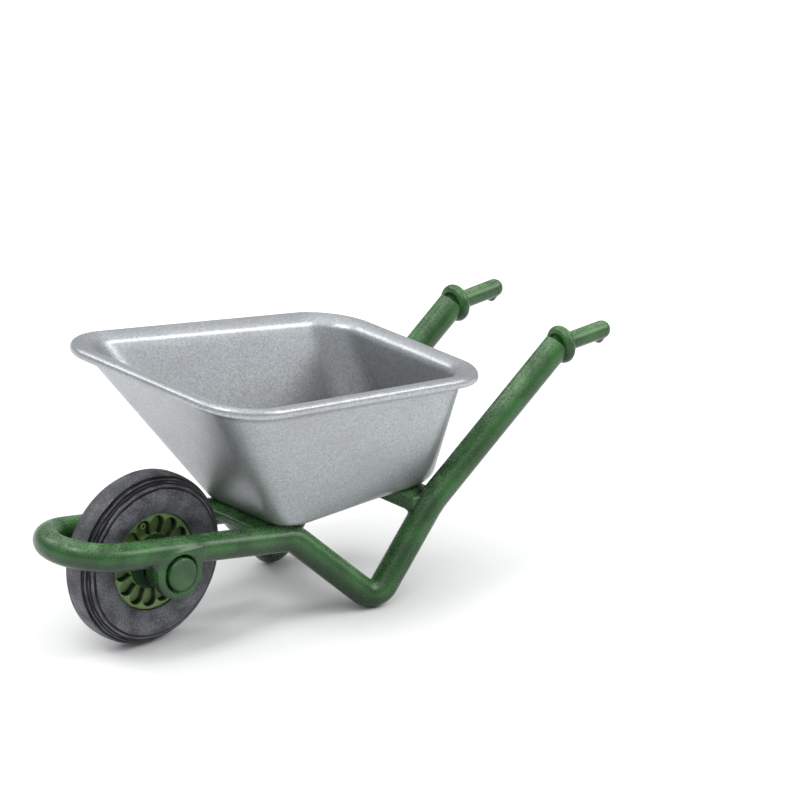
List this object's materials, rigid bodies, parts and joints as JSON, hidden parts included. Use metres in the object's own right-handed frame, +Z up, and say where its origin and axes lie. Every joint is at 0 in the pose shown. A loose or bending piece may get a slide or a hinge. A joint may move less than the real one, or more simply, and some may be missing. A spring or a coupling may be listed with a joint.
{
  "type": "toy wheelbarrow",
  "caption": "Play-scale wheelbarrow: tapered tray with a rolled lip on a bent tube frame with front loop, kinked legs, slim grips and a spinning wheel.",
  "frame": {"origin": "middle of the bounding box, on the ground under the wheel and feet", "axes": "+X forward to the wheel, +Y to the barrow's left, +Z up"},
  "size_m": [0.1096, 0.0496, 0.0465],
  "materials": {
    "tray_paint": "fine-speckled silver paint, satin",
    "frame_green": "mid-green matte paint, lighter where worn",
    "rim_green": "olive-green matte paint",
    "tyre_grey": "dark grey, dry-brushed lighter",
    "steel": "plain"
  },
  "bodies": {
    "barrow": {"tray": "tray_paint", "front_loop": "frame_green", "side_tube_left": "frame_green", "side_tube_right": "frame_green", "handle_tube_left": "frame_green", "handle_tube_right": "frame_green", "front_bearer": "frame_green", "rear_bearer": "frame_green", "tray_screws_front": "steel", "tray_screws_rear": "steel", "axle_bracket_left": "frame_green", "axle_bracket_right": "frame_green", "axle_cap_left": "frame_green", "axle_cap_right": "frame_green", "axle_pin": "steel", "axle_washers": "steel", "collar_left": "frame_green", "collar_right": "frame_green", "grip_left": "frame_green", "grip_right": "frame_green"},
    "wheel": {"tyre": "tyre_grey", "rim_left": "rim_green", "rim_right": "rim_green", "hub_bush": "rim_green", "valve_stem": "rim_green"}
  },
  "joints": [
    {"name": "wheel_spin", "type": "hinge", "parent": "barrow", "child": "wheel", "pos_m": [0.0349, 0, 0.0148], "axis": [0, 1, 0], "continuous": true}
  ]
}
